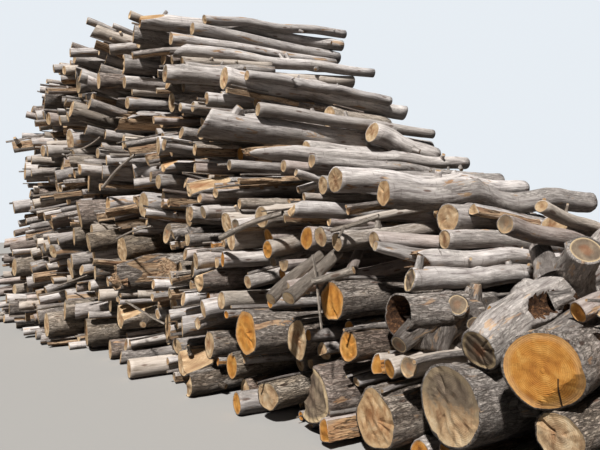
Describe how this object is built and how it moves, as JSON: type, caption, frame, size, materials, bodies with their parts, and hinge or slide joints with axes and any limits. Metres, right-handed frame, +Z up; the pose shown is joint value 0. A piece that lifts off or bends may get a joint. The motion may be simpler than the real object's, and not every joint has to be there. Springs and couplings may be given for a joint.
{
  "type": "heap of logs",
  "caption": "Heap of unbarked firewood logs laid side by side, with a rough sawn-end face, a steep far end and a long slope down to heavy trunks at the near end.",
  "frame": {"origin": "on the ground, under the middle of the heap", "axes": "+X along the sawn-end face from the far steep end to the near end, +Y into the heap along the logs, +Z up"},
  "size_m": [10.9555, 3.8108, 4.6288],
  "materials": {
    "stacked_log": "weathered grey bark with sawn ends",
    "trunk": "rough grey-brown bark with fresh orange sawn ends"
  },
  "bodies": {
    "root": {"bowed_log": "trunk", "cleft_block": "trunk", "crest_log": "trunk", "crossed_fork": "trunk", "face_butt": "trunk", "far_course_1": "stacked_log", "far_course_2": "stacked_log", "far_course_3": "stacked_log", "far_course_4": "stacked_log", "far_course_5": "stacked_log", "far_course_6": "stacked_log", "far_course_7": "stacked_log", "far_course_8": "stacked_log", "far_end_course_1": "stacked_log", "far_end_course_2": "stacked_log", "far_end_course_3": "stacked_log", "far_end_course_4": "stacked_log", "far_end_course_5": "stacked_log", "far_end_course_6": "stacked_log", "far_end_course_7": "stacked_log", "far_end_course_8": "stacked_log", "forked_trunk": "trunk", "great_log": "trunk", "knotted_trunk": "trunk", "low_butt": "trunk", "low_fork": "trunk", "middle_course_1": "stacked_log", "middle_course_2": "stacked_log", "middle_course_3": "stacked_log", "middle_course_4": "stacked_log", "middle_course_5": "stacked_log", "middle_course_6": "stacked_log", "middle_course_7": "stacked_log", "middle_course_8": "stacked_log", "near_course_1": "stacked_log", "near_course_2": "stacked_log", "near_course_3": "stacked_log", "near_course_4": "stacked_log", "orange_butt": "trunk", "pointed_log": "trunk", "round_end_log": "trunk", "shaded_butt": "trunk", "slope_course_1": "stacked_log", "slope_course_2": "stacked_log", "slope_course_3": "stacked_log", "slope_course_4": "stacked_log", "slope_course_5": "stacked_log", "slope_course_6": "stacked_log", "slope_log": "trunk", "split_block": "trunk", "split_trunk": "trunk", "stubbed_log": "trunk", "tan_end_log": "trunk", "toe_trunk": "trunk", "torn_log": "trunk", "weathered_butt": "trunk"}
  },
  "joints": []
}
